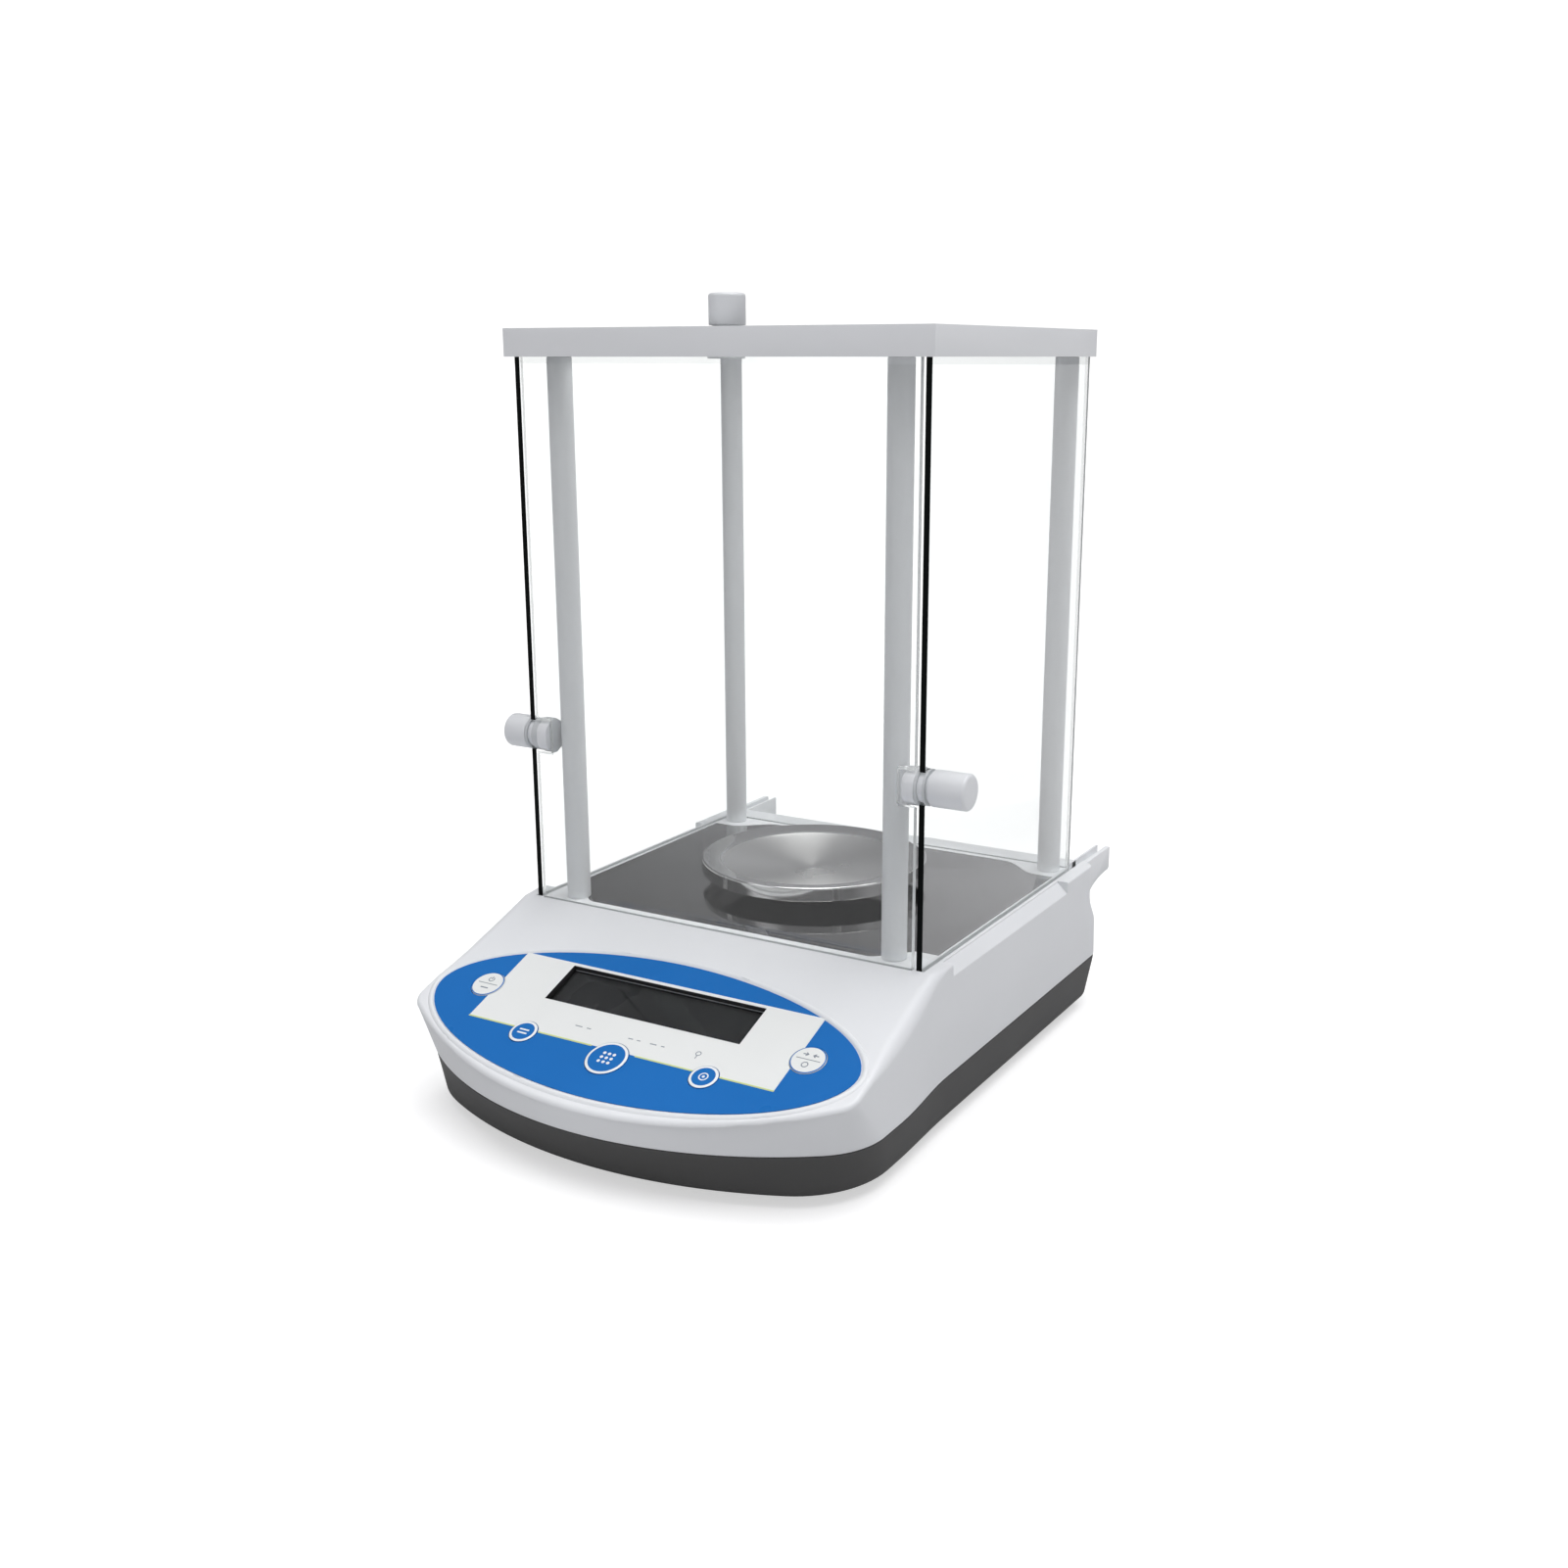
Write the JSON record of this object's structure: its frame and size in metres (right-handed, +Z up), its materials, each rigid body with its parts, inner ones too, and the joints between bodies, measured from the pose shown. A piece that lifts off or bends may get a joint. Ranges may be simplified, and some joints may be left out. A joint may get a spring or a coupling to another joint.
{
  "type": "analytical balance",
  "caption": "Bench balance with a tilted keypad and display, a round steel pan, and a glass draught shield on posts whose side and top doors slide open.",
  "frame": {"origin": "on the table, under the middle of the whole object", "axes": "+Z up from the table, the keypad faces -Y, +X to the right as seen from the front"},
  "size_m": [0.2146, 0.293, 0.317],
  "materials": {
    "white_plastic": "fine satin moulded plastic",
    "dark_plastic": "fine textured dark grey plastic",
    "black_plastic": "plain black plastic",
    "white_paint": "satin white powder coat",
    "knob_plastic": "satin white plastic",
    "washer_plastic": "translucent grey plastic",
    "blue_film": "printed blue keypad film",
    "white_film": "printed white keypad film",
    "display_lens": "smoked display lens",
    "circuit_board": "green circuit board",
    "ribbon": "grey flat cable",
    "aluminium": "milled aluminium",
    "bright_steel": "polished and satin stainless steel",
    "mirror_steel": "mirror polished stainless steel sheet",
    "screw_steel": "plated screws",
    "glass": "clear float glass with ground edges",
    "rubber": "black rubber"
  },
  "bodies": {
    "base": {"bottom_shell": "dark_plastic", "top_housing": "white_plastic", "keypad_overlay": "blue_film", "display_bezel": "white_film", "display_window": "display_lens", "lcd_module": "black_plastic", "display_board": "circuit_board", "board_screws": "screw_steel", "main_board": "circuit_board", "ribbon_cable": "ribbon", "load_cell": "aluminium", "load_cell_block": "aluminium", "load_cell_screws": "screw_steel", "deck_plate": "mirror_steel", "front_left_post": "white_paint", "front_right_post": "white_paint", "rear_left_post": "white_paint", "rear_right_post": "white_paint", "post_screws": "screw_steel", "top_frame": "white_paint", "frame_screws": "screw_steel", "front_glass": "glass", "rear_glass": "glass", "housing_screws": "screw_steel", "power_socket": "black_plastic", "data_port": "screw_steel"},
    "left_door": {"left_door_glass": "glass", "left_door_knob": "knob_plastic", "left_door_nut": "knob_plastic", "left_door_washers": "washer_plastic"},
    "right_door": {"right_door_glass": "glass", "right_door_knob": "knob_plastic", "right_door_nut": "knob_plastic", "right_door_washers": "washer_plastic"},
    "top_door": {"top_door_glass": "glass", "top_door_knob": "knob_plastic", "top_door_nut": "knob_plastic", "top_door_washers": "washer_plastic"},
    "pan_carrier": {"load_arm": "aluminium", "pan_stem": "bright_steel"},
    "pan": {"weighing_pan": "bright_steel"},
    "power_key": {"power_key": "white_film"},
    "unit_key": {"unit_key": "blue_film"},
    "count_key": {"count_key": "blue_film"},
    "calibrate_key": {"calibrate_key": "blue_film"},
    "tare_key": {"tare_key": "white_film"},
    "front_left_foot": {"front_left_foot": "black_plastic", "front_left_foot_pad": "rubber"},
    "front_right_foot": {"front_right_foot": "black_plastic", "front_right_foot_pad": "rubber"},
    "rear_left_foot": {"rear_left_foot": "black_plastic", "rear_left_foot_pad": "rubber"},
    "rear_right_foot": {"rear_right_foot": "black_plastic", "rear_right_foot_pad": "rubber"}
  },
  "joints": [
    {"name": "left_door_slide", "type": "slide", "parent": "base", "child": "left_door", "axis": [0, 1, 0], "range_m": [0, 0.12]},
    {"name": "right_door_slide", "type": "slide", "parent": "base", "child": "right_door", "axis": [0, 1, 0], "range_m": [0, 0.12]},
    {"name": "top_door_slide", "type": "slide", "parent": "base", "child": "top_door", "axis": [0, 1, 0], "range_m": [0, 0.115]},
    {"name": "weighing_travel", "type": "slide", "parent": "base", "child": "pan_carrier", "axis": [0, 0, -1], "range_m": [0, 0.0003], "stiffness_N_per_m": 20000},
    {"name": "pan_lift", "type": "slide", "parent": "pan_carrier", "child": "pan", "axis": [0, 0, 1], "range_m": [0, 0.12]},
    {"name": "power_key_press", "type": "slide", "parent": "base", "child": "power_key", "axis": [0, 0.3535, -0.9354], "range_m": [0, 0.0006], "stiffness_N_per_m": 1500},
    {"name": "unit_key_press", "type": "slide", "parent": "base", "child": "unit_key", "axis": [0, 0.3535, -0.9354], "range_m": [0, 0.0006], "stiffness_N_per_m": 1500},
    {"name": "count_key_press", "type": "slide", "parent": "base", "child": "count_key", "axis": [0, 0.3535, -0.9354], "range_m": [0, 0.0006], "stiffness_N_per_m": 1500},
    {"name": "calibrate_key_press", "type": "slide", "parent": "base", "child": "calibrate_key", "axis": [0, 0.3535, -0.9354], "range_m": [0, 0.0006], "stiffness_N_per_m": 1500},
    {"name": "tare_key_press", "type": "slide", "parent": "base", "child": "tare_key", "axis": [0, 0.3535, -0.9354], "range_m": [0, 0.0006], "stiffness_N_per_m": 1500},
    {"name": "front_left_foot_height", "type": "slide", "parent": "base", "child": "front_left_foot", "axis": [0, 0, -1], "range_m": [0, 0.004]},
    {"name": "front_right_foot_height", "type": "slide", "parent": "base", "child": "front_right_foot", "axis": [0, 0, -1], "range_m": [0, 0.004]},
    {"name": "rear_left_foot_height", "type": "slide", "parent": "base", "child": "rear_left_foot", "axis": [0, 0, -1], "range_m": [0, 0.004]},
    {"name": "rear_right_foot_height", "type": "slide", "parent": "base", "child": "rear_right_foot", "axis": [0, 0, -1], "range_m": [0, 0.004]}
  ]
}
